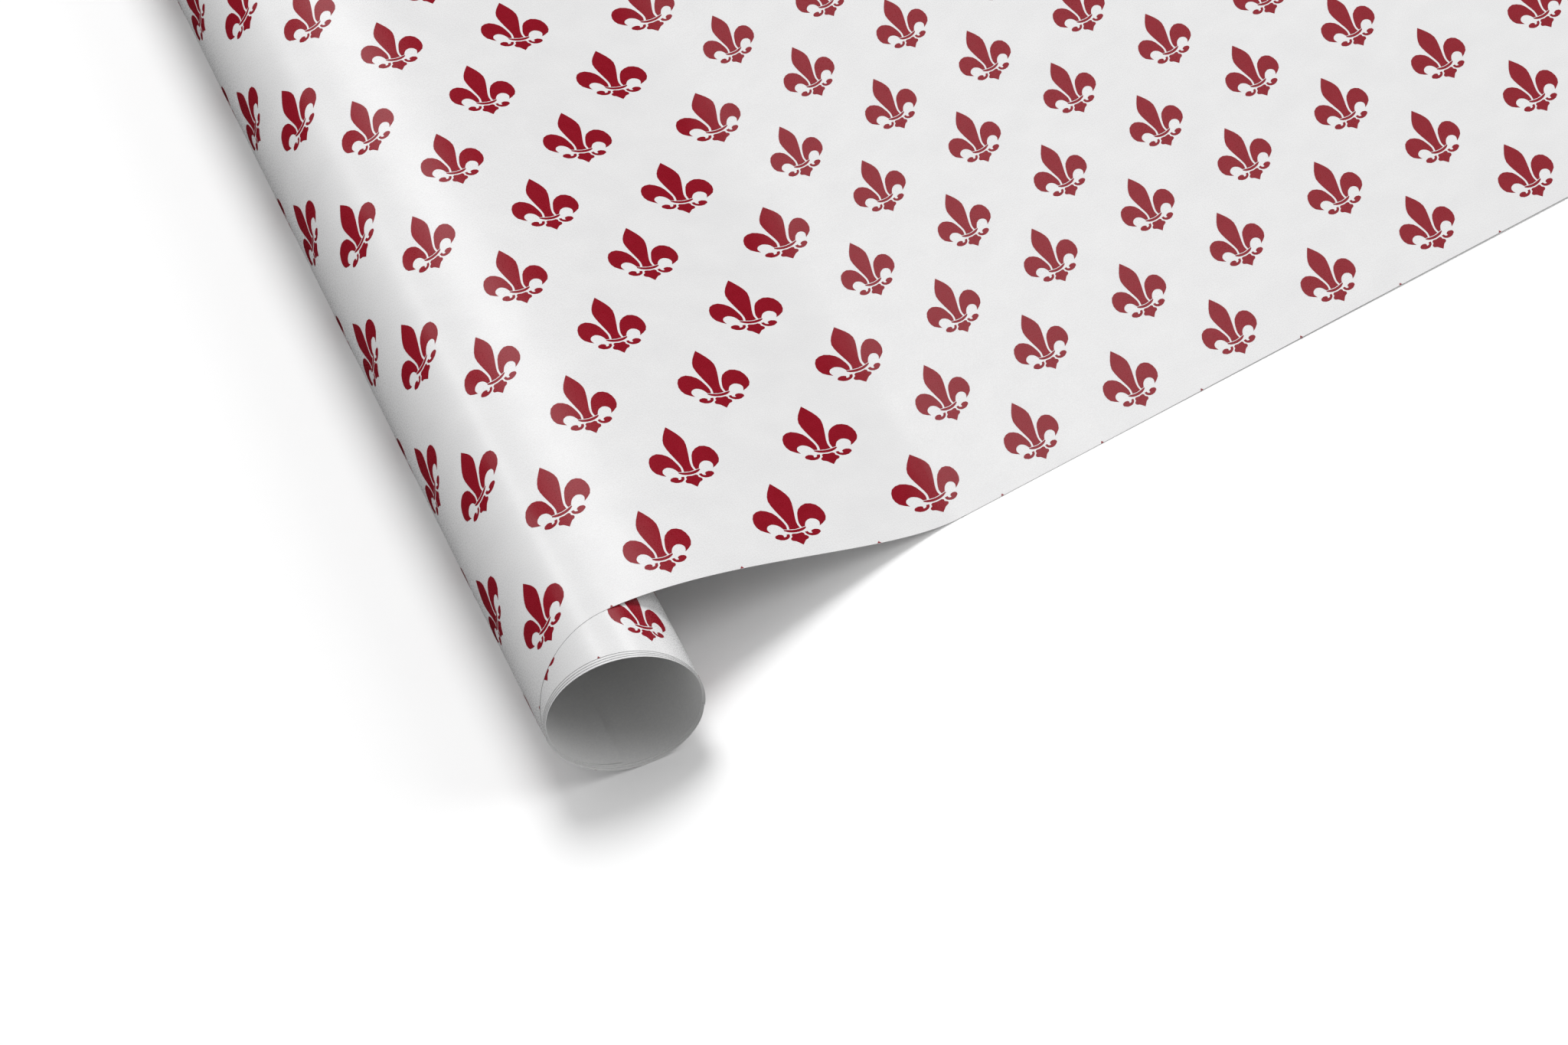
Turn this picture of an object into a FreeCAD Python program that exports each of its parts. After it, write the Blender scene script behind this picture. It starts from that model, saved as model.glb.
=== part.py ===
import FreeCAD, Part
import math
import os
import Sketcher

# A coreless roll of gift wrap, partly unrolled. One sheet runs from its free lead edge inside the
# roll, round the wound turns, off the top of the roll, down to the floor and flat along it.
# Frame: X along the laid sheet, away from the roll; Y along the roll, away from its near end; Z up.
# The origin is the middle of the laid sheet's underside.
doc = FreeCAD.newDocument("wrapping_paper_roll")
V = FreeCAD.Vector

SIZES = [
    ("sheet_width", 508.0, "cut width of the sheet, along the roll"),
    ("laid_length", 848.0, "length of the sheet that lies flat"),
    ("paper", 0.25, "solid thickness that stands in for the paper"),
    ("roll_radius", 21.0, "outside of the outer turn"),
    ("turn_pitch", 0.45, "radial step from one turn to the next"),
    ("axis_offset", 100.0, "roll axis back from the line where the sheet touches down"),
    ("leave_angle", 70.0, "degrees from +X where the sheet leaves the roll"),
    ("seam_angle", 50.0, "degrees from +X where each turn hands over to the next"),
    ("ramp_angle", 15.0, "degrees over which a turn steps in to the next"),
    ("leave_pull", 35.0, "stiffness of the span's bend at the roll"),
    ("touch_pull", 22.0, "stiffness of the span's bend at the floor"),
    ("end_drift", 27.3, "how far the inner turns stand out past the laid sheet's near edge"),
    ("drift_run", 150.4, "length of sheet over which that drift builds up"),
    ("turn_stagger", 0.7, "further step out of each inner turn"),
    ("lead_sweep", 186.0, "degrees of the part turn inside the last full turn"),
    ("lead_flap", 11.0, "length of the free lead edge that curls off the wall"),
    ("lead_curl", 14.0, "radius the lead edge curls to"),
]
sheet = doc.addObject("Spreadsheet::Sheet", "Sizes")
for row, (alias, value, note) in enumerate(SIZES, start=1):
    sheet.set(f"A{row}", alias)
    sheet.set(f"B{row}", str(value))
    sheet.set(f"C{row}", note)
    sheet.setAlias(f"B{row}", alias)
doc.recompute()

FLOOR_PLANE, CROSS_PLANE = "XY_Plane", "XZ_Plane"
TOUCH_X = "-Sizes.laid_length / 2"
AXIS_X = "-Sizes.laid_length / 2 - Sizes.axis_offset"


def size(alias):
    """The value of one cell of the sheet."""
    return float(sheet.get(alias))


def new_body(label):
    """An empty body with its own label."""
    body = doc.addObject("PartDesign::Body", label)
    body.Label = label
    return body


def new_sketch(body, plane):
    """A sketch on one of the body's own origin planes."""
    sketch = body.newObject("Sketcher::SketchObject", body.Label + "_outline")
    support = [f for f in body.Origin.OriginFeatures if f.Role == plane][0]
    sketch.AttachmentSupport = [(support, "")]
    sketch.MapMode = "FlatFace"
    return sketch


def pad(body, sketch, length, midplane=False):
    """A pad of the sketch, with its length bound to the sheet."""
    feature = body.newObject("PartDesign::Pad", body.Label + "_pad")
    feature.Profile = sketch
    feature.setExpression("Length", length)
    feature.Midplane = midplane
    sketch.Visibility = False
    return feature


def bind(sketch, constraint, expression):
    """Add one constraint and bind its value to the sheet."""
    index = sketch.addConstraint(constraint)
    sketch.setExpression(f"Constraints[{index}]", expression)


def polar(radius, degrees):
    """A point of a sketch in the roll's cross-section."""
    angle = math.radians(degrees)
    return V(radius * math.cos(angle), radius * math.sin(angle), 0)


def arc(sketch, radius, start, end):
    """An arc about the roll's axis, between two angles in degrees."""
    circle = Part.Circle(V(0, 0, 0), V(0, 0, 1), radius)
    index = sketch.addGeometry(Part.ArcOfCircle(circle, math.radians(start), math.radians(end)))
    sketch.addConstraint(Sketcher.Constraint("Coincident", index, 3, -1, 1))
    return index


def line(sketch, start, end, construction=False):
    return sketch.addGeometry(Part.LineSegment(start, end), construction)


def join(sketch, first, first_end, second, second_end):
    sketch.addConstraint(Sketcher.Constraint("Coincident", first, first_end, second, second_end))


def place_on_axis(body, stagger):
    """Put a wound turn on the roll's axis, drifted out past the laid sheet's near edge."""
    body.setExpression(".Placement.Base.x", AXIS_X)
    body.setExpression(".Placement.Base.y", f"-Sizes.end_drift - {stagger} * Sizes.turn_stagger")
    body.setExpression(".Placement.Base.z", "Sizes.roll_radius")


# --- laid sheet: the flat stretch, centred on the origin ---------------------------------------
def make_laid_sheet():
    body = new_body("laid_sheet")
    sketch = new_sketch(body, FLOOR_PLANE)
    half_x, half_y = size("laid_length") / 2, size("sheet_width") / 2
    corners = [V(-half_x, -half_y), V(half_x, -half_y), V(half_x, half_y), V(-half_x, half_y)]
    sides = [line(sketch, corners[i], corners[(i + 1) % 4]) for i in range(4)]
    for i, side in enumerate(sides):
        join(sketch, side, 2, sides[(i + 1) % 4], 1)
        direction = "Vertical" if i % 2 else "Horizontal"
        sketch.addConstraint(Sketcher.Constraint(direction, side))
    sketch.addConstraint(Sketcher.Constraint("Symmetric", sides[0], 1, sides[1], 2, -1, 1))
    bind(sketch, Sketcher.Constraint("DistanceX", sides[0], 1, sides[0], 2, 2 * half_x), "Sizes.laid_length")
    bind(sketch, Sketcher.Constraint("DistanceY", sides[1], 1, sides[1], 2, 2 * half_y), "Sizes.sheet_width")
    pad(body, sketch, "Sizes.paper")
    return body


# --- wound turns: rings that end in a short ramp down to the next turn --------------------------
def turn_radius(index):
    """Outside radius of a turn, counting the outer turn as 0."""
    return size("roll_radius") - index * size("turn_pitch")


def radius_rule(index, inner):
    rule = f"Sizes.roll_radius - {index} * Sizes.turn_pitch"
    return rule + " - Sizes.paper" if inner else rule


def fix_angle(sketch, spoke, degrees, rule):
    """Hold a line that points away from the axis at an angle bound to the sheet."""
    sketch.addConstraint(Sketcher.Constraint("PointOnObject", -1, 1, spoke))
    bind(sketch, Sketcher.Constraint("Angle", -1, 1, spoke, 1, math.radians(degrees)), rule)


def draw_ring(sketch, index, start, end, start_rule, end_rule, open_end=False):
    """Both faces of one turn between two angles, closed by a spoke at each end."""
    outside, inside = turn_radius(index), turn_radius(index) - size("paper")
    spokes = [line(sketch, polar(inside, start), polar(outside, start)),
              line(sketch, polar(inside, end), polar(outside, end), open_end)]
    faces = [arc(sketch, outside, start, end), arc(sketch, inside, start, end)]
    for face, spoke_point in zip(faces, (2, 1)):
        join(sketch, spokes[0], spoke_point, face, 1)
        join(sketch, spokes[1], spoke_point, face, 2)
    bind(sketch, Sketcher.Constraint("Radius", faces[0], outside), radius_rule(index, False))
    bind(sketch, Sketcher.Constraint("Radius", faces[1], inside), radius_rule(index, True))
    fix_angle(sketch, spokes[0], start, start_rule)
    fix_angle(sketch, spokes[1], end, end_rule)
    return spokes, faces


def make_full_turn(label, index):
    """One full turn, from the seam round to the seam, that ends in the ramp to the next turn."""
    body = new_body(label)
    sketch = new_sketch(body, CROSS_PLANE)
    outside, paper, seam = turn_radius(index), size("paper"), size("seam_angle")
    next_outside = turn_radius(index + 1)
    knee = seam + 360 - size("ramp_angle")
    spokes, faces = draw_ring(sketch, index, seam, knee, "Sizes.seam_angle",
                              "Sizes.seam_angle - Sizes.ramp_angle", open_end=True)
    end = line(sketch, polar(next_outside - paper, seam), polar(next_outside, seam))
    for face, drop, end_point in zip(faces, (0, paper), (2, 1)):
        ramp = line(sketch, polar(outside - drop, knee), polar(next_outside - drop, seam))
        join(sketch, ramp, 1, face, 2)
        join(sketch, ramp, 2, end, end_point)
        sketch.addConstraint(Sketcher.Constraint("PointOnObject", end, end_point, spokes[0]))
    bind(sketch, Sketcher.Constraint("Distance", -1, 1, end, 2, next_outside), radius_rule(index + 1, False))
    bind(sketch, Sketcher.Constraint("Distance", end, paper), "Sizes.paper")
    pad(body, sketch, "Sizes.sheet_width", midplane=True)
    place_on_axis(body, index - 1)
    return body


def make_lead_turn(label, index):
    """The part turn inside the last full turn, from the seam to where the lead edge curls off."""
    body = new_body(label)
    sketch = new_sketch(body, CROSS_PLANE)
    seam = size("seam_angle")
    draw_ring(sketch, index, seam, seam + size("lead_sweep"), "Sizes.seam_angle",
              "Sizes.seam_angle + Sizes.lead_sweep")
    pad(body, sketch, "Sizes.sheet_width", midplane=True)
    place_on_axis(body, index - 1)
    return body


def make_lead_edge(label, index):
    """The free lead edge: an arc tighter than the roll, tangent to the end of the lead turn."""
    body = new_body(label)
    sketch = new_sketch(body, CROSS_PLANE)
    outside, paper, curl = turn_radius(index), size("paper"), size("lead_curl")
    start = size("seam_angle") + size("lead_sweep")
    end = start + math.degrees(size("lead_flap") / curl)
    centre = polar(outside - curl, start)
    spoke_start = line(sketch, polar(outside - paper, start), polar(outside, start))
    spoke_end = line(sketch, centre + polar(curl - paper, end), centre + polar(curl, end))
    arcs = []
    for radius in (curl, curl - paper):
        circle = Part.Circle(centre, V(0, 0, 1), radius)
        arcs.append(sketch.addGeometry(Part.ArcOfCircle(circle, math.radians(start), math.radians(end))))
    for curve, spoke_point in zip(arcs, (2, 1)):
        join(sketch, curve, 1, spoke_start, spoke_point)
        join(sketch, curve, 2, spoke_end, spoke_point)
    join(sketch, arcs[0], 3, arcs[1], 3)
    sketch.addConstraint(Sketcher.Constraint("PointOnObject", arcs[0], 3, spoke_start))
    sketch.addConstraint(Sketcher.Constraint("PointOnObject", arcs[0], 3, spoke_end))
    fix_angle(sketch, spoke_start, start, "Sizes.seam_angle + Sizes.lead_sweep")
    bind(sketch, Sketcher.Constraint("Angle", -1, 1, spoke_end, 1, math.radians(end)),
         "Sizes.seam_angle + Sizes.lead_sweep + Sizes.lead_flap / Sizes.lead_curl * 180 / pi")
    bind(sketch, Sketcher.Constraint("Distance", -1, 1, spoke_start, 2, outside), radius_rule(index, False))
    bind(sketch, Sketcher.Constraint("Distance", spoke_start, paper), "Sizes.paper")
    bind(sketch, Sketcher.Constraint("Radius", arcs[0], curl), "Sizes.lead_curl")
    pad(body, sketch, "Sizes.sheet_width", midplane=True)
    place_on_axis(body, index - 1)
    return body


# --- lift-off span and outer turn: their near edge drifts out as the sheet winds on --------------
class SheetPath:
    """The middle of the sheet in the X-Z plane, from the touch-down line back round the outer turn."""

    def __init__(self):
        half_paper = size("paper") / 2
        self.radius = size("roll_radius") - half_paper
        self.axis = V(-size("laid_length") / 2 - size("axis_offset"), 0, size("roll_radius"))
        self.leave = size("leave_angle")
        angle = math.radians(self.leave)
        tangent = V(math.sin(angle), 0, -math.cos(angle))
        touch = V(-size("laid_length") / 2, 0, half_paper)
        lift = self.on_turn(self.leave)
        self.span = Part.BezierCurve()
        self.span.setPoles([touch, touch - V(size("touch_pull"), 0, 0),
                            lift + tangent * size("leave_pull"), lift])
        self.span_length = self.span.length()

    def on_turn(self, degrees):
        angle = math.radians(degrees)
        return self.axis + V(math.cos(angle), 0, math.sin(angle)) * self.radius

    def drift(self, run):
        """How far the near edge has moved out after this length of sheet."""
        return size("end_drift") * min(run / size("drift_run"), 1.0) ** 3

    def span_point(self, share):
        """Point, outward normal and run at a share of the span's length, from the floor up."""
        parameter = self.span.parameterAtDistance(share * self.span_length, 0)
        tangent = self.span.tangent(parameter)[0]
        return self.span.value(parameter), V(-tangent.z, 0, tangent.x) * -1, share * self.span_length

    def turn_point(self, degrees):
        """Point, outward normal and run at an angle round the outer turn."""
        point = self.on_turn(degrees)
        run = self.span_length + math.radians(degrees - self.leave) * self.radius
        return point, (point - self.axis).normalize(), run


def strip_solid(path, stations):
    """The sheet along these stations: a strip of paper at the near edge, drawn out to the width."""
    half_width, half_paper = size("sheet_width") / 2, size("paper") / 2
    edges = []
    for side in (1, -1):
        points = [p + n * side * half_paper - V(0, half_width + path.drift(run), 0) for p, n, run in stations]
        curve = Part.BSplineCurve()
        curve.interpolate(points)
        edges.append(curve.toShape())
    strip = Part.makeRuledSurface(edges[0], edges[1])
    return strip.extrude(V(0, size("sheet_width"), 0))


def add_strip(label, path, stations):
    feature = doc.addObject("Part::Feature", label)
    feature.Label = label
    feature.Shape = strip_solid(path, stations)
    return feature


SPAN_STATIONS, TURN_STATIONS = 24, 72
FULL_TURNS = ["second_turn", "third_turn", "fourth_turn"]

path = SheetPath()
seam_end = size("seam_angle") + 360
span_shares = [i / SPAN_STATIONS for i in range(SPAN_STATIONS + 1)]
turn_angles = [path.leave + (seam_end - path.leave) * i / TURN_STATIONS for i in range(TURN_STATIONS + 1)]
nodes = [make_laid_sheet()]
nodes.append(add_strip("lift_off_span", path, [path.span_point(share) for share in span_shares]))
nodes.append(add_strip("outer_turn", path, [path.turn_point(angle) for angle in turn_angles]))
for index, label in enumerate(FULL_TURNS, start=1):
    nodes.append(make_full_turn(label, index))
lead_index = len(FULL_TURNS) + 1
nodes.append(make_lead_turn("lead_turn", lead_index))
nodes.append(make_lead_edge("lead_edge", lead_index))

doc.recompute()
for item in doc.Objects:
    if "Invalid" in item.State or "Error" in item.State:
        raise RuntimeError(f"{item.Label} did not build: {item.State}")
os.makedirs("parts", exist_ok=True)
for node in nodes:
    if node.Shape.isNull() or not node.Shape.isValid() or node.Shape.Volume <= 0:
        raise RuntimeError(f"{node.Label} has no valid solid")
for node in nodes:
    node.Shape.exportStep(f"parts/{node.Label}.step")
    box = node.Shape.BoundBox
    print(f"{node.Label}: volume {node.Shape.Volume:.1f} x {box.XMin:.2f} {box.XMax:.2f} "
          f"y {box.YMin:.2f} {box.YMax:.2f} z {box.ZMin:.2f} {box.ZMax:.2f}")
print(f"span length {path.span_length:.2f}")
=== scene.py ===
import math

import bmesh
import bpy
import numpy as np
from mathutils import Matrix, Vector


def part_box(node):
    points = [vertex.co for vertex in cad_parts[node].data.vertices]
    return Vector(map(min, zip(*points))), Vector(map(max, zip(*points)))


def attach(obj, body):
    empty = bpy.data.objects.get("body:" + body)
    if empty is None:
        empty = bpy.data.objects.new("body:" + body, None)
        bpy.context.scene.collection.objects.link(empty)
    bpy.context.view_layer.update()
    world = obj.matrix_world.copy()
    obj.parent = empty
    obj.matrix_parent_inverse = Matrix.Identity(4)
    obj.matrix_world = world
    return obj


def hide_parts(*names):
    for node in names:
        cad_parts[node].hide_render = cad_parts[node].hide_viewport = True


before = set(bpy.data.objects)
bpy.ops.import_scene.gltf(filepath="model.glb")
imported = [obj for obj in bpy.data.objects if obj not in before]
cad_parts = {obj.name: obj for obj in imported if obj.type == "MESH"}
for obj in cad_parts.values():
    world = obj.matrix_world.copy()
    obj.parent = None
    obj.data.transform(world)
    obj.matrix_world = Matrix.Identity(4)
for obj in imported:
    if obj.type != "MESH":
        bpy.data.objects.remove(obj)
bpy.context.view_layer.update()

# A sheet of gift wrap that winds off a coreless roll. Every stretch of it is drawn on the sheet's
# own flat plane, as (run, across): run is the length of sheet from the line where it touches the
# floor, positive up onto the roll; across is measured along the roll from the middle of the sheet,
# negative towards the near end. A wound turn's run starts at its own first edge. A stretch's place
# function then carries flat points, and a height over the printed face, into the frame.
# Lengths are in metres. Angles round the roll are in degrees, from +X towards +Z.
MM = 0.001

# --- sizes read from the frame ------------------------------------------------------------------
laid_low, laid_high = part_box("laid_sheet")
second_low, second_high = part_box("second_turn")
third_low, third_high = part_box("third_turn")
TOUCH_X = laid_low.x
LAID_LENGTH = laid_high.x - laid_low.x
HALF_WIDTH = laid_high.y
SHEET_TOP = laid_high.z
AXIS_X = (second_low.x + second_high.x) / 2
AXIS_Z = (second_low.z + second_high.z) / 2
SECOND_RADIUS = (second_high.z - second_low.z) / 2
SOLID_PITCH = SECOND_RADIUS - (third_high.z - third_low.z) / 2
ROLL_RADIUS = SECOND_RADIUS + SOLID_PITCH
END_DRIFT = laid_low.y - second_low.y
TURN_STAGGER = second_low.y - third_low.y

# --- the sheet ----------------------------------------------------------------------------------
PAPER = 0.10 * MM                        # thickness
TURN_PITCH = 0.17 * MM                   # from one wound turn to the next
SEAM, RAMP = -25.0, 15.0                 # where a turn hands over to the next, and how gradually
ARC_STEP = 0.5                           # degrees between the points of an arc

UNDERLAY = 121 * MM                      # hidden under the laid sheet, comes out as the roll travels
DIP_LENGTH = 3 * MM                      # over which the underlay drops below the laid sheet
UNDER_POINTS, SPAN_POINTS = 600, 400     # on the underlay's and the span's profile
# The span's leave angle on the roll, then the pulls of its bends at the floor and at the roll: at
# the sheet's two free edges, and inside them.
EDGE_SPAN = (70.0, 22 * MM, 35 * MM)
INNER_SPAN = (72.0, 22 * MM, 36 * MM)
EDGE_WIDTH = 130 * MM                    # across which the one changes to the other
DRIFT_RUN, DRIFT_POWER = 146 * MM, 2.6   # how the near edge runs out to the roll's end
END_SLANT, END_BACK = 0.148, 1.2 * MM    # the wound turns' ends: slope in X, and a step back
LEAD_END = 220.0                         # where the lead turn leaves the wall
LEAD_FLAP, LEAD_CURL = 11 * MM, 18.4 * MM   # length and radius of the free edge from there

# The laid sheet's waves, between nothing and their height, and none next to the touch line.
WAVE_HEIGHT, WAVE_FREE = 0.35 * MM, 60 * MM
WAVE_LEVEL = 0.5
WAVES = ((0.3, 0.061, 0.19), (0.2, 0.037, -0.083))   # share, then metres per radian in X and Y

# --- the print ----------------------------------------------------------------------------------
# Rows run along the sheet, half a pitch out of step with their neighbours. Row 0 lies FIRST_ROW in
# from the near edge, and a higher row lies nearer to that edge.
PITCH, ROW_PITCH = 29.2 * MM, 28.05 * MM
FIRST_COLUMN, FIRST_ROW = -85.16 * MM, 65.9 * MM
ROWS = range(-15, 4)
WHOLE_ROWS = ROWS[:-1]                   # without the one that the near edge cuts
INK_TOP, TURN_INK_TOP, INK_ROOT = 0.045 * MM, 0.02 * MM, -0.03 * MM   # over the printed face
# The print is drawn out over the span, and part of that is taken back over the outer turn.
STRETCH, STRETCH_RUN, STRETCH_EASE = 24.7 * MM, 90.3 * MM, 0.25
LOSS, LOSS_START, LOSS_LENGTH = 5.9 * MM, 1.35 * STRETCH_RUN, 0.6 * STRETCH_RUN
# It leans along the roll: away from the near end over the rise, back towards it over the fall,
# and by an even slope from the lean's start on, which comes to nothing at its zero.
RISE, RISE_START, RISE_LENGTH = 4.3 * MM, -25 * MM, 75 * MM
FALL, FALL_START, FALL_LENGTH = 13.6 * MM, 84 * MM, 46 * MM
LEAN, LEAN_START, LEAN_ZERO = 0.012, -180 * MM, -50 * MM
LEAN_WIDTH, LEAN_POWER = 130 * MM, 1.6   # how the three fade out at the sheet's free edges
# On the roll it lies further round towards the near end.
SLIP, SLIP_START, SLIP_LENGTH = 2.5 * MM, 84 * MM, 30 * MM
SLIP_INNER, SLIP_WIDTH = 130 * MM, 80 * MM
# On the wound turns: where a column falls, in degrees, and its step from turn to turn, in pitches.
TURN_COLUMN, TURN_STEP = 46.0, 0.37
TURN_STRETCH = 1.05
PRINTED_END, SEAM_MARGIN = 62 * MM, 0.4 * MM

# --- mesh steps ---------------------------------------------------------------------------------
FLAT_STEP = 8 * MM                       # flat stretches
TOUCH_RUN, TOUCH_STEP = 4 * MM, 0.5 * MM   # where the underlay dips
SPAN_STEP, WOUND_STEP = 2 * MM, 1.8 * MM   # along the span, and round the roll
ROLLED_ACROSS, TURN_ACROSS = 5 * MM, 16 * MM
SHARP_ANGLE = 45                         # degrees between faces, over which an edge isn't smooth


def rising(value, start, length):
    """From 0 to 1, smoothly, over a length from its start."""
    t = np.clip((value - start) / length, 0.0, 1.0)
    return t * t * (3 - 2 * t)


def unit(rows):
    """Each row of an array as a vector of length 1."""
    return rows / np.linalg.norm(rows, axis=1)[:, None]


# --- where the sheet lies -----------------------------------------------------------------------
class Profile:
    """The printed face of a stretch of sheet in the X-Z plane, by length of sheet."""

    def __init__(self, points, start=0.0):
        self.points = np.asarray(points)
        steps = np.hypot(*np.diff(self.points, axis=0).T)
        self.run = start + np.concatenate([[0.0], np.cumsum(steps)])
        tangent = unit(np.gradient(self.points, self.run, axis=0))
        self.normal = np.stack([tangent[:, 1], -tangent[:, 0]], axis=1)

    def at(self, run):
        """Points of the profile and its normals there."""
        return [np.stack([np.interp(run, self.run, rows[:, k]) for k in (0, 1)], axis=1)
                for rows in (self.points, self.normal)]


def on_circle(radius, degrees, centre=(AXIS_X, AXIS_Z)):
    angle = np.radians(degrees)
    return np.stack([centre[0] + radius * np.cos(angle), centre[1] + radius * np.sin(angle)], axis=-1)


def turn_points(radius, start, end, ramp=True):
    """A wound turn that can step in to the next one over its last few degrees."""
    degrees = np.arange(start, end + 0.01, ARC_STEP)   # with the end itself
    step = rising(degrees - end, -RAMP, RAMP) if ramp else 0
    return on_circle(radius - TURN_PITCH * step, degrees)


def rolled_profile(leave, touch_pull, leave_pull):
    """Underlay, span and outer turn: from under the laid sheet, up to the roll and once round it."""
    back = np.linspace(UNDERLAY, 0, UNDER_POINTS)
    height = SHEET_TOP - (SHEET_TOP - PAPER) * rising(back, 0, DIP_LENGTH)
    under = np.stack([TOUCH_X + back, height], axis=1)
    touch = np.array([TOUCH_X, SHEET_TOP])
    lift = on_circle(ROLL_RADIUS, leave)
    tangent = np.array([math.sin(math.radians(leave)), -math.cos(math.radians(leave))])
    poles = [touch, touch - [touch_pull, 0], lift + leave_pull * tangent, lift]
    u = np.linspace(0, 1, SPAN_POINTS)[:, None]
    span = sum(math.comb(3, k) * (1 - u) ** (3 - k) * u ** k * pole for k, pole in enumerate(poles))
    turn = turn_points(ROLL_RADIUS, leave, 360 + SEAM, ramp=False)
    return Profile(np.concatenate([under[:-1], span, turn[1:]]), start=-UNDERLAY)


def wound_profile(radius):
    """One whole turn."""
    return Profile(turn_points(radius, SEAM, 360 + SEAM))


def lead_profile(radius):
    """Part of a turn, then the free lead edge that curls tighter than the roll."""
    curl_centre = on_circle(radius - LEAD_CURL, LEAD_END)
    curl = np.arange(LEAD_END, LEAD_END + math.degrees(LEAD_FLAP / LEAD_CURL), ARC_STEP)
    return Profile(np.concatenate([turn_points(radius, SEAM, LEAD_END, ramp=False),
                                   on_circle(LEAD_CURL, curl, curl_centre)[1:]]))


EDGE, INNER = rolled_profile(*EDGE_SPAN), rolled_profile(*INNER_SPAN)
LIFT_RUN = float(EDGE.run[UNDER_POINTS - 1 + SPAN_POINTS - 1])   # where the span meets the roll
ROLLED_END = EDGE.run[-1]


def turn_drift(x):
    """How far the wound turns have moved along the roll: their ends are cut at a slant."""
    return END_DRIFT - END_BACK + END_SLANT * (x - AXIS_X)


def place_rolled(run, across, lift):
    """The span bows a little higher over the middle of the sheet than at its two free edges."""
    inside = rising(HALF_WIDTH - np.abs(across), 0, EDGE_WIDTH)[:, None]
    (edge, edge_normal), (inner, inner_normal) = EDGE.at(run), INNER.at(run)
    spot = edge + (inner - edge) * inside
    normal = unit(edge_normal + (inner_normal - edge_normal) * inside)
    spot = spot + normal * lift[:, None]
    drift = END_DRIFT * np.clip(run / DRIFT_RUN, 0, 1) ** DRIFT_POWER
    drift = np.where(run > LIFT_RUN, np.minimum(drift, turn_drift(spot[:, 0])), drift)
    return np.stack([spot[:, 0], across - drift, spot[:, 1]], axis=1)


def place_laid(run, across, lift):
    """Flat on the floor, with the faint long waves of paper that has been rolled."""
    x = TOUCH_X - run
    calm = rising(x, TOUCH_X, WAVE_FREE)
    wave = sum((share * np.sin(x / in_x + across / in_y) for share, in_x, in_y in WAVES), WAVE_LEVEL)
    return np.stack([x, across, SHEET_TOP + WAVE_HEIGHT * wave * calm + lift], axis=1)


def place_turn(profile, order):
    """A wound turn, whose end leans out further at the top of the roll than the turn over it."""
    def place(run, across, lift):
        spot, normal = profile.at(run)
        spot = spot + normal * lift[:, None]
        lean = (order - 1) * TURN_STAGGER * (spot[:, 1] - AXIS_Z) / SECOND_RADIUS
        drift = turn_drift(spot[:, 0]) + lean
        return np.stack([spot[:, 0], across - drift, spot[:, 1]], axis=1)
    return place


# --- closed thin solids from flat shapes --------------------------------------------------------
def shell(name, flat, faces, place, top, bottom, materials):
    """A closed thin solid between two heights over the printed face. The first material is for
    its upper side, and the last for the rest."""
    flat = np.asarray(flat)
    count = len(flat)
    upper = place(flat[:, 0], flat[:, 1], np.full(count, top))
    lower = place(flat[:, 0], flat[:, 1], np.full(count, bottom))
    rim = {}   # edges that only one face has, in a fixed order
    for face in faces:
        for a, b in zip(face, face[1:] + face[:1]):
            if (b, a) in rim:
                del rim[(b, a)]
            else:
                rim[(a, b)] = True
    walls = [(b + count, a + count, a, b) for a, b in rim]
    upper_faces = [face[::-1] for face in faces]
    lower_faces = [tuple(v + count for v in face) for face in faces]
    mesh = bpy.data.meshes.new(name)
    mesh.from_pydata(np.concatenate([upper, lower]).tolist(), [], upper_faces + lower_faces + walls)
    for material in materials:
        mesh.materials.append(material)
    if len(materials) > 1:
        index = [0] * len(faces) + [1] * (len(faces) + len(walls))
        mesh.polygons.foreach_set("material_index", index)
    mesh.shade_smooth()
    mesh.set_sharp_from_angle(angle=math.radians(SHARP_ANGLE))
    mesh.update()
    piece = bpy.data.objects.new(name, mesh)
    bpy.context.scene.collection.objects.link(piece)
    return piece


def grid(runs, acrosses):
    """Flat points and quads of a rectangular stretch of sheet."""
    flat = [(r, a) for r in runs for a in acrosses]
    wide = len(acrosses)
    faces = [(i * wide + j, (i + 1) * wide + j, (i + 1) * wide + j + 1, i * wide + j + 1)
             for i in range(len(runs) - 1) for j in range(wide - 1)]
    return flat, faces


def even(low, high, step):
    """Evenly spaced values from low to high, about a step apart."""
    return np.linspace(low, high, max(2, round((high - low) / step) + 1))


# --- the printed ornament: a plain heraldic lily, symmetric, drawn in millimetres -----------------
# Each outline is a list of smooth runs that meet at corners. The origin is the middle of its band,
# x is along the run and y across.
def through(points, steps=2):
    """Points of a smooth curve through the given ones, without the last."""
    p = np.asarray([points[0]] + list(points) + [points[-1]], float)
    curve = []
    for a, b, c, d in zip(p, p[1:], p[2:], p[3:]):
        for t in np.arange(steps) / steps:
            curve.append(0.5 * (2 * b + (c - a) * t + (2 * a - 5 * b + 4 * c - d) * t ** 2
                                + (3 * b - a - 3 * c + d) * t ** 3))
    return curve


def mirrored(right_side):
    """A closed outline from its right side, with the points on its middle line taken once."""
    left = [(-x, y) for x, y in right_side[::-1] if abs(x) > 1e-6]
    return list(map(tuple, right_side)) + left


def middle_petal():
    side = through([(0, 19.0), (1.5, 15.8), (2.3, 12.6), (1.95, 8.9), (1.2, 4.8), (0.95, 2.5),
                    (1.12, 0.98)])
    return mirrored(side + [(1.12, 0.98), (0.0, 0.76)])


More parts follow.
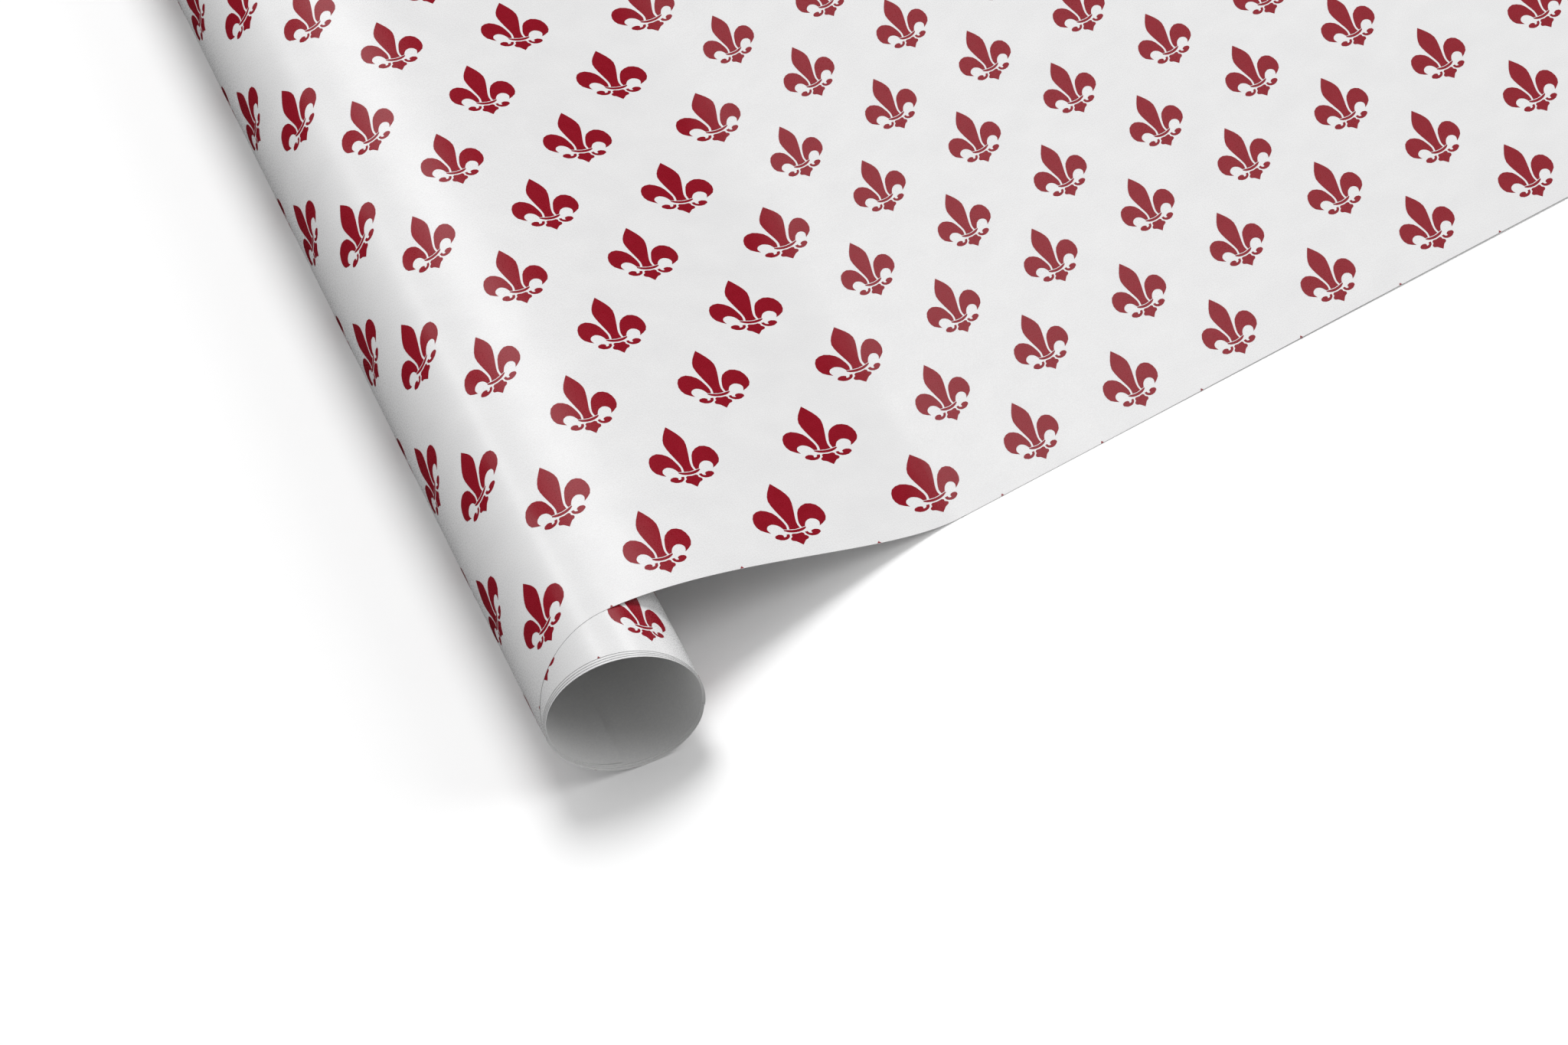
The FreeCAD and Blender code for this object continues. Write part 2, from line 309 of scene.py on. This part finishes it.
def side_petal():
    outer = through([(1.58, 1.12), (1.42, 2.7), (1.85, 5.2), (2.75, 7.9), (4.75, 9.6), (6.7, 8.5),
                     (7.5, 5.3), (6.95, 2.4), (5.2, 0.6)])
    inner = through([(5.2, 0.6), (5.55, 2.0), (5.15, 3.25), (4.1, 3.8), (3.05, 3.1), (2.5, 2.0),
                     (2.3, 1.3)])
    return outer + inner + [(2.3, 1.3)]


def band():
    """A bar that bows up at its ends and is fullest in the middle."""
    half_length, half_height, taper, bow, level = 2.35, 0.47, 0.84, 0.86, 0.03
    along = np.linspace(-1, 1, 9)
    swell = half_height * np.sqrt(1 - taper * along ** 4)
    middle = bow * along ** 2 + level
    top = [(half_length * a, m + s) for a, m, s in zip(along, middle, swell)]
    bottom = [(half_length * a, m - s) for a, m, s in zip(along, middle, swell)]
    return top[::-1] + bottom


def side_curl():
    """A stroke that leaves the band, swings under and ends in a round knob."""
    half_start, growth, knob_radius = 0.3, 0.68, 0.98
    tip = (3.85, -1.3)
    spine = np.asarray(through([(1.95, -0.75), (2.1, -1.55), (2.75, -2.1), (3.5, -1.95), tip])
                       + [np.array(tip)])
    along = np.linspace(0, 1, len(spine))
    tangent = unit(np.gradient(spine, axis=0))
    side = np.stack([-tangent[:, 1], tangent[:, 0]], axis=1)
    half = (half_start + growth * along ** 2.0)[:, None]
    left, right = spine + side * half, spine - side * half
    heading = math.atan2(tangent[-1][1], tangent[-1][0])
    knob = [spine[-1] + knob_radius * np.array([math.cos(heading + a), math.sin(heading + a)])
            for a in np.radians([-58, -22, 22, 58])]
    return list(right) + knob + list(left[::-1])


def foot():
    side = through([(0.95, -0.8), (1.35, -1.25), (1.3, -1.85), (1.85, -2.55), (1.7, -3.35),
                    (1.05, -3.75), (0.55, -4.5), (0, -5.4)])
    return mirrored([(0.0, -1.0)] + side + [(0.0, -5.4)])


def ornament():
    """Every outline of one lily, in metres."""
    halves = [side_petal(), side_curl()]
    outlines = [middle_petal(), band(), foot()] + halves
    outlines += [[(-x, y) for x, y in half][::-1] for half in halves]
    return [np.asarray([tuple(p) for p in outline]) * MM for outline in outlines]


LILY = ornament()
LILY_HALF, LILY_LOW, LILY_HIGH = 7.7 * MM, -5.5 * MM, 19.1 * MM   # a box round it
WELD, ON_PLANE = 2e-6, 1e-8                                       # tolerances of the cutting
PRINT_RUNS = np.linspace(-1.0, 0.4, 14001)                        # past both ends of the sheet


def stretched(print_run):
    """Where print that was drawn at this run ends up: the print is drawn out over the span."""
    t = np.clip(print_run / STRETCH_RUN, 0, 1)
    gain = STRETCH * ((1 + STRETCH_EASE) * t - STRETCH_EASE * t ** 4)
    return print_run + gain - LOSS * rising(print_run, LOSS_START, LOSS_LENGTH)


def unstretched(run):
    """The opposite of stretched, read back from closely spaced values of it."""
    return np.interp(run, stretched(PRINT_RUNS), PRINT_RUNS)


def skewed(run, across):
    """The print's lean along the roll, which fades out towards the sheet's two free edges."""
    edge = np.clip((HALF_WIDTH - np.abs(across)) / LEAN_WIDTH, 0, 1)
    inside = 1 - (1 - edge) ** LEAN_POWER
    rise = RISE * rising(run, RISE_START, RISE_LENGTH)
    fall = FALL * rising(run, FALL_START, FALL_LENGTH)
    lean = LEAN * (np.maximum(run, LEAN_START) - LEAN_ZERO)
    return across + inside * (rise - fall + lean)


def slipped(run, across):
    """The print on the roll lies a little further round it towards the near end."""
    near = rising(-across, SLIP_INNER, SLIP_WIDTH)
    return run + SLIP * near * rising(run, SLIP_START, SLIP_LENGTH)


def cut(bm, point, normal, drop):
    everything = bm.verts[:] + bm.edges[:] + bm.faces[:]
    bmesh.ops.bisect_plane(bm, geom=everything, plane_co=point, plane_no=normal, dist=ON_PLANE,
                           clear_outer=drop)


def stamped(column, row, cuts, low, high):
    """One lily at a place of the print, cut into strips at the given runs and trimmed to the window."""
    bm = bmesh.new()
    for outline in LILY:
        bm.faces.new([bm.verts.new((column + x, row + y, 0)) for x, y in outline])
    for line in cuts:
        if abs(line - column) < LILY_HALF:
            cut(bm, (line, 0, 0), (1, 0, 0), False)
    for axis in (0, 1):
        normal = [0, 0, 0]
        for edge, sign in ((low[axis], -1), (high[axis], 1)):
            normal[axis] = sign
            cut(bm, [edge] * 3, normal, True)
    bmesh.ops.remove_doubles(bm, verts=bm.verts[:], dist=WELD)
    bmesh.ops.triangulate(bm, faces=bm.faces[:])
    bm.verts.index_update()
    points = [(v.co.x, v.co.y) for v in bm.verts]
    faces = []
    for f in bm.faces:
        loop = tuple(v.index for v in f.verts)
        faces.append(loop if f.normal.z > 0 else loop[::-1])
    bm.free()
    return points, faces


def print_pattern(low, high, cuts=(), shift=0.0, rows=ROWS):
    """Flat points and faces of every lily whose print falls in the window, in print runs. Lilies
    that come out the same are made once and copied."""
    points, faces, stock, count = [], [], {}, 0
    for i in rows:
        row = -HALF_WIDTH + FIRST_ROW - i * ROW_PITCH
        if row + LILY_HIGH < low[1] or row + LILY_LOW > high[1]:
            continue
        whole_row = row + LILY_LOW > low[1] and row + LILY_HIGH < high[1]
        offset = FIRST_COLUMN + shift + (i % 2) * PITCH / 2
        first = math.ceil((low[0] - LILY_HALF - offset) / PITCH)
        last = math.floor((high[0] + LILY_HALF - offset) / PITCH)
        for j in range(first, last + 1):
            column = offset + j * PITCH
            inside = column - LILY_HALF >= low[0] and column + LILY_HALF <= high[0]
            if whole_row and inside and not len(cuts):
                key, spot, window = "whole", (0.0, 0.0), ((-1, -1), (1, 1))
            else:
                key = (round(column, 7), None if whole_row else row)
                spot, window = (column, row), (low, high)
            if key not in stock:
                flat, loops = stamped(*spot, cuts, *window)
                stock[key] = np.asarray(flat).reshape(-1, 2) - spot, loops
            flat, loops = stock[key]
            points.append(flat + (column, row))
            faces += [tuple(v + count for v in loop) for loop in loops]
            count += len(flat)
    return np.concatenate(points), faces


# --- materials ----------------------------------------------------------------------------------
PAPER_DARK, PAPER_LIGHT = (0.686, 0.686, 0.689), (0.716, 0.716, 0.717)
# The back's colours are darker than the printed face's partly as painted shade: they darken the inside
# of the roll, where the back shows.
BACK_DARK_PAINTED_SHADE, BACK_LIGHT_PAINTED_SHADE = (0.60, 0.60, 0.60), (0.66, 0.66, 0.655)
INK_DARK, INK_LIGHT = (0.222, 0.0038, 0.0120), (0.242, 0.0050, 0.0150)
GRAIN_DARK, GRAIN_LIGHT = (0.9, 0.9, 0.9), (1.06, 1.06, 1.06)   # what the ink is multiplied by
FLOOR_DARK, FLOOR_LIGHT = (0.965, 0.965, 0.965), (0.975, 0.975, 0.975)
NOISE_LOW, NOISE_HIGH = 0.3, 0.7                                # most noise lies between these


class Finish:
    """A procedural material, wired to the sockets of its own Principled shader."""

    def __init__(self, name, specular):
        self.material = bpy.data.materials.new(name)
        self.material.use_nodes = True
        tree = self.material.node_tree
        self.nodes, self.links = tree.nodes, tree.links
        self.shader = self.nodes["Principled BSDF"]
        self.shader.inputs["Specular IOR Level"].default_value = specular
        self.place = self.nodes.new("ShaderNodeTexCoord").outputs["Object"]

    def node(self, kind, **values):
        """A new node, with its unlinked inputs by name."""
        made = self.nodes.new(kind)
        for socket, value in values.items():
            made.inputs[socket.replace("_", " ")].default_value = value
        return made

    def noise(self, cells, detail=3.0, rough=0.5):
        """Noise over the object, with this many cells to the metre."""
        texture = self.node("ShaderNodeTexNoise", Scale=cells, Detail=detail, Roughness=rough)
        self.links.new(self.place, texture.inputs["Vector"])
        return texture.outputs["Fac"]

    def spread(self, source, low=0.0, high=1.0):
        """Noise spread over a range of values."""
        node = self.node("ShaderNodeMapRange", From_Min=NOISE_LOW, From_Max=NOISE_HIGH,
                         To_Min=low, To_Max=high)
        self.links.new(source, node.inputs["Value"])
        return node.outputs["Result"]

    def between(self, source, dark, light):
        """Noise as a colour between two others."""
        node = self.nodes.new("ShaderNodeMix")
        node.data_type = "RGBA"
        node.inputs["A"].default_value = (*dark, 1)
        node.inputs["B"].default_value = (*light, 1)
        self.links.new(self.spread(source), node.inputs["Factor"])
        return node.outputs["Result"]

    def multiplied(self, one, other):
        """The product of two colours."""
        node = self.nodes.new("ShaderNodeMix")
        node.data_type = "RGBA"
        node.blend_type = "MULTIPLY"
        node.inputs["Factor"].default_value = 1
        self.links.new(one, node.inputs["A"])
        self.links.new(other, node.inputs["B"])
        return node.outputs["Result"]

    def feed(self, socket, source):
        self.links.new(source, self.shader.inputs[socket])

    def bump(self, source, strength, height):
        """Relief, added to any that is there already."""
        node = self.node("ShaderNodeBump", Strength=strength, Distance=height)
        self.links.new(source, node.inputs["Height"])
        before = self.shader.inputs["Normal"].links
        if before:
            self.links.new(before[0].from_socket, node.inputs["Normal"])
        self.feed("Normal", node.outputs["Normal"])


def coated_paper():
    """The printed face between its ornaments: satin coating over faint fibre and cloudy formation."""
    finish = Finish("satin_coated_paper", specular=0.8)
    fibre = finish.noise(cells=2600, detail=2)
    cloud = finish.noise(cells=95, detail=4)
    finish.feed("Base Color", finish.between(cloud, PAPER_DARK, PAPER_LIGHT))
    finish.feed("Roughness", finish.spread(fibre, low=0.24, high=0.32))
    finish.bump(fibre, strength=0.35, height=0.02 * MM)
    finish.bump(finish.noise(cells=320), strength=0.25, height=0.05 * MM)
    return finish.material


def back_paper_with_painted_shade():
    """The unprinted back: uncoated, matte, with coarser fibre; greyer than the printed face, partly as
    uncoated paper and partly as painted shade for the inside of the roll.
    """
    # Its base colour is partly painted shade for the inside of the roll.
    finish = Finish("uncoated_back_painted_shade", specular=0.3)
    fibre = finish.noise(cells=1500, detail=4, rough=0.65)
    finish.feed("Base Color", finish.between(fibre, BACK_DARK_PAINTED_SHADE, BACK_LIGHT_PAINTED_SHADE))
    finish.feed("Roughness", finish.spread(finish.noise(cells=240), low=0.62, high=0.78))
    finish.bump(fibre, strength=0.4, height=0.03 * MM)
    return finish.material


def crimson_ink():
    """Solid crimson printing: a slightly grainy film, with faint uneven density."""
    finish = Finish("crimson_ink", specular=0.5)
    grain = finish.noise(cells=3400, rough=0.7)
    solid = finish.between(finish.noise(cells=420), INK_DARK, INK_LIGHT)
    finish.feed("Base Color",
                finish.multiplied(solid, finish.between(grain, GRAIN_DARK, GRAIN_LIGHT)))
    finish.feed("Roughness", finish.spread(grain, low=0.24, high=0.34))
    finish.bump(grain, strength=0.4, height=0.02 * MM)
    return finish.material


def floor_material():
    finish = Finish("studio_floor", specular=0.1)
    finish.feed("Base Color", finish.between(finish.noise(cells=3), FLOOR_DARK, FLOOR_LIGHT))
    finish.shader.inputs["Roughness"].default_value = 0.9
    return finish.material


PRINTED, BACK, INK = coated_paper(), back_paper_with_painted_shade(), crimson_ink()


# --- the pieces ---------------------------------------------------------------------------------
def paper_piece(name, runs, across_step, place, body, nodes):
    """One stretch of paper, riding on its body."""
    flat, faces = grid(runs, even(-HALF_WIDTH, HALF_WIDTH, across_step))
    piece = shell(name, flat, faces, place, 0.0, -PAPER, [PRINTED, BACK])
    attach(piece, body)
    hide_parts(*nodes)


def ink_piece(name, points, faces, place, body, top=INK_TOP):
    """The print on one stretch of paper: a thin film rooted in the paper."""
    piece = shell(name, points, faces, place, top, INK_ROOT, [INK])
    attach(piece, body)


def make_laid_sheet():
    paper_piece("laid_paper", even(-LAID_LENGTH, 0, FLAT_STEP), FLAT_STEP, place_laid, "laid",
                ["laid_sheet"])
    halves = (("laid_print_near", -HALF_WIDTH, 0.0), ("laid_print_far", 0.0, HALF_WIDTH))
    for name, low, high in halves:
        points, faces = print_pattern((-LAID_LENGTH, low), (0.0, high))
        points[:, 1] = skewed(points[:, 0], points[:, 1])
        ink_piece(name, points, faces, place_laid, "laid")


def make_rolled_sheet():
    """Underlay, span and outer turn, in one piece. The print is cut where the paper's faces meet,
    so that it bends with them."""
    runs = np.concatenate([even(-UNDERLAY, -TOUCH_RUN, FLAT_STEP)[:-1],
                           even(-TOUCH_RUN, 0, TOUCH_STEP)[:-1],
                           even(0, LIFT_RUN, SPAN_STEP)[:-1],
                           even(LIFT_RUN, ROLLED_END, WOUND_STEP)])
    paper_piece("rolled_paper", runs, ROLLED_ACROSS, place_rolled, "span",
                ["lift_off_span", "outer_turn"])
    low, high = (-UNDERLAY, -HALF_WIDTH), (float(unstretched(ROLLED_END)), HALF_WIDTH)
    cuts = unstretched(runs[runs > -TOUCH_RUN])
    points, faces = print_pattern(low, high, cuts)
    points[:, 0] = stretched(points[:, 0])
    points[:, 1] = skewed(points[:, 0], points[:, 1])
    points[:, 0] = np.minimum(slipped(points[:, 0], points[:, 1]), ROLLED_END)
    ink_piece("rolled_print", points, faces, place_rolled, "span")


def make_turn(name, order, body, nodes, profile_at):
    """A wound turn, counted inwards from the outer one, and the print at its near end."""
    radius = ROLL_RADIUS - order * TURN_PITCH
    profile = profile_at(radius)
    place = place_turn(profile, order)
    end = profile.run[-1]
    runs = even(0, end, WOUND_STEP)
    paper_piece(name + "_paper", runs, TURN_ACROSS, place, body, nodes)
    # the print is drawn out on both sides of the column that shows under the lifted span
    middle = math.radians(TURN_COLUMN - SEAM) * radius
    shift = (middle - FIRST_COLUMN + (order - 1) * TURN_STEP * PITCH) % PITCH
    low, high = middle + np.array([-middle, end - middle]) / TURN_STRETCH
    window = (low + SEAM_MARGIN, -HALF_WIDTH), (high - SEAM_MARGIN, -HALF_WIDTH + PRINTED_END)
    rows = ROWS if order == 1 else WHOLE_ROWS
    points, faces = print_pattern(*window, middle + (runs - middle) / TURN_STRETCH, shift, rows)
    points[:, 0] = middle + (points[:, 0] - middle) * TURN_STRETCH
    ink_piece(name + "_print", points, faces, place, body, TURN_INK_TOP)


# --- studio -------------------------------------------------------------------------------------
FOCUS = Vector((-0.4646, -0.2247, 0.0))              # on the floor, in the middle of the picture
CAMERA_DISTANCE, LENS, SENSOR, CLIP_END = 1.6968, 148.9, 36, 50
HEADING, PITCH_DOWN, TILT = 2.075, 43.94, -26.35     # degrees
# Disk lamps aimed at the focus: heading and elevation in degrees, distance and size in metres,
# power in watts. The first four light only matte shading, the others only gloss.
MATTE_LAMPS = {"overhead": (0, 84, 2.6, 1.6, 6.5),
               "key": (38, 64, 2.4, 1.1, 33),
               "fill": (118, 32, 2.4, 1.2, 15),
               "front": (165, 14, 2.4, 1.2, 5)}
GLOSS_LAMPS = {"gloss_near": (4, 47, 3.0, 0.55, 2.2),
               "gloss_back": (6, 40, 3.0, 1.6, 2.4)}
# The strip lamp over the roll's shoulder: its size and power, its place from the roll's axis and
# from the middle of the sheet, and its tip in degrees.
STRIP_WIDTH, STRIP_LENGTH, STRIP_POWER = 0.024, 0.76, 0.105
STRIP_BESIDE, STRIP_ALONG, STRIP_OVER, STRIP_TIP = 0.074, 0.08, 0.073, 47
WORLD_STRENGTH = 0.40
FLOOR_HALF = 6.0


def direction(heading, elevation):
    """Unit vector: heading in degrees from +Y towards +X, elevation over the floor."""
    h, e = math.radians(heading), math.radians(elevation)
    return Vector((math.sin(h) * math.cos(e), math.cos(h) * math.cos(e), math.sin(e)))


def make_camera():
    forward = direction(HEADING, -PITCH_DOWN)
    level = Vector((math.cos(math.radians(HEADING)), -math.sin(math.radians(HEADING)), 0))
    tilt = math.radians(TILT)
    right = level * math.cos(tilt) + level.cross(forward) * math.sin(tilt)
    matrix = Matrix((right, right.cross(forward), -forward)).transposed().to_4x4()
    matrix.translation = FOCUS - forward * CAMERA_DISTANCE
    data = bpy.data.cameras.new("camera")
    data.lens, data.sensor_width, data.clip_end = LENS, SENSOR, CLIP_END
    camera = bpy.data.objects.new("camera", data)
    camera.matrix_world = matrix
    bpy.context.scene.collection.objects.link(camera)
    bpy.context.scene.camera = camera


def area_lamp(name, shape, power, matte, gloss):
    """An area light that the camera doesn't see, and that lights matte shading, gloss or both."""
    data = bpy.data.lights.new(name, "AREA")
    data.shape, data.energy = shape, power
    lamp = bpy.data.objects.new(name, data)
    lamp.visible_camera, lamp.visible_diffuse, lamp.visible_glossy = False, matte, gloss
    bpy.context.scene.collection.objects.link(lamp)
    return lamp


def softbox(name, heading, elevation, distance, size, power, matte):
    """A disk lamp aimed at the focus, for matte shading or for gloss."""
    lamp = area_lamp(name, "DISK", power, matte, not matte)
    lamp.data.size = size
    toward = direction(heading, elevation)
    lamp.location = FOCUS + toward * distance
    lamp.rotation_euler = toward.to_track_quat("Z", "Y").to_euler()


def gloss_strip():
    """A narrow strip along the roll that only its shoulder reflects: the bright line of the sheen."""
    lamp = area_lamp("gloss_strip", "RECTANGLE", STRIP_POWER, False, True)
    lamp.data.size, lamp.data.size_y = STRIP_WIDTH, STRIP_LENGTH
    lamp.location = Vector((AXIS_X + STRIP_BESIDE, STRIP_ALONG, AXIS_Z + STRIP_OVER))
    lamp.rotation_euler = (0, math.radians(STRIP_TIP), 0)


def make_light():
    world = bpy.data.worlds.new("studio")
    bpy.context.scene.world = world
    world.use_nodes = True
    background = world.node_tree.nodes["Background"]
    background.inputs["Color"].default_value = (1, 1, 1, 1)
    background.inputs["Strength"].default_value = WORLD_STRENGTH
    world.cycles_visibility.glossy = False
    for name, values in MATTE_LAMPS.items():
        softbox(name, *values, matte=True)
    gloss_strip()
    for name, values in GLOSS_LAMPS.items():
        softbox(name, *values, matte=False)
    bpy.context.scene.view_settings.view_transform = "Standard"


def make_floor():
    """A plain pale floor, left out of reflections so that it doesn't wash out the ink."""
    corners = [(-1, -1), (1, -1), (1, 1), (-1, 1)]
    mesh = bpy.data.meshes.new("floor")
    mesh.from_pydata([(FLOOR_HALF * x, FLOOR_HALF * y, 0) for x, y in corners], [], [(0, 1, 2, 3)])
    mesh.materials.append(floor_material())
    floor = bpy.data.objects.new("floor", mesh)
    bpy.context.scene.collection.objects.link(floor)
    floor.visible_glossy = False
    return floor


make_camera()
make_light()
floor = make_floor()
make_laid_sheet()
make_rolled_sheet()
make_turn("second_turn", 1, "core", ["second_turn"], wound_profile)
make_turn("third_turn", 2, "third", ["third_turn"], wound_profile)
make_turn("fourth_turn", 3, "fourth", ["fourth_turn"], wound_profile)
make_turn("lead_turn", 4, "lead", ["lead_turn", "lead_edge"], lead_profile)
